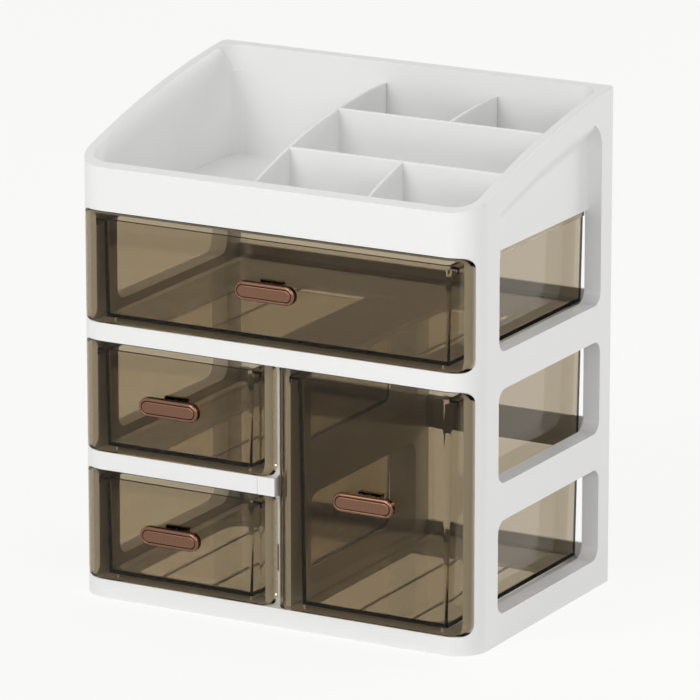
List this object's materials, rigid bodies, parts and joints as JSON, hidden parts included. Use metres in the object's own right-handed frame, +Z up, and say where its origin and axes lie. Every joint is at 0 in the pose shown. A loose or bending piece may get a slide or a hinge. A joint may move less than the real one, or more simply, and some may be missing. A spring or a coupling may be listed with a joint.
{
  "type": "make-up organizer with drawers",
  "caption": "White desk organizer with see-through smoke-brown pull-out drawers, windowed sides and an open divided tray on top.",
  "frame": {"origin": "middle of the case in plan, on the underside", "axes": "+Z up, +X to the right when seen from the front, the drawers pull out towards -Y"},
  "size_m": [0.28, 0.1954, 0.32],
  "materials": {
    "white_plastic": "satin white moulded plastic",
    "smoke_plastic": "clear smoke-brown plastic, polished",
    "copper_plating": "rose-copper plating, polished",
    "copper_inlay": "rose-copper plating, finely lined"
  },
  "bodies": {
    "case": {"base_plate": "white_plastic", "side_panel_left": "white_plastic", "side_panel_right": "white_plastic", "centre_divider": "white_plastic", "shelf_lower_left": "white_plastic", "back_rail_right": "white_plastic", "shelf_upper": "white_plastic", "top_tray": "white_plastic", "tray_dividers": "white_plastic"},
    "wide_drawer": {"wide_drawer_tub": "smoke_plastic", "wide_drawer_front": "smoke_plastic", "wide_drawer_pull": "copper_plating", "wide_drawer_inlay": "copper_inlay"},
    "upper_left_drawer": {"upper_left_drawer_tub": "smoke_plastic", "upper_left_drawer_front": "smoke_plastic", "upper_left_drawer_pull": "copper_plating", "upper_left_drawer_inlay": "copper_inlay"},
    "lower_left_drawer": {"lower_left_drawer_tub": "smoke_plastic", "lower_left_drawer_front": "smoke_plastic", "lower_left_drawer_pull": "copper_plating", "lower_left_drawer_inlay": "copper_inlay"},
    "tall_drawer": {"tall_drawer_tub": "smoke_plastic", "tall_drawer_front": "smoke_plastic", "tall_drawer_pull": "copper_plating", "tall_drawer_inlay": "copper_inlay"}
  },
  "joints": [
    {"name": "wide_drawer_slide", "type": "slide", "parent": "case", "child": "wide_drawer", "axis": [0, -1, 0], "range_m": [0, 0.14]},
    {"name": "upper_left_drawer_slide", "type": "slide", "parent": "case", "child": "upper_left_drawer", "axis": [0, -1, 0], "range_m": [0, 0.14]},
    {"name": "lower_left_drawer_slide", "type": "slide", "parent": "case", "child": "lower_left_drawer", "axis": [0, -1, 0], "range_m": [0, 0.14]},
    {"name": "tall_drawer_slide", "type": "slide", "parent": "case", "child": "tall_drawer", "axis": [0, -1, 0], "range_m": [0, 0.14]}
  ]
}
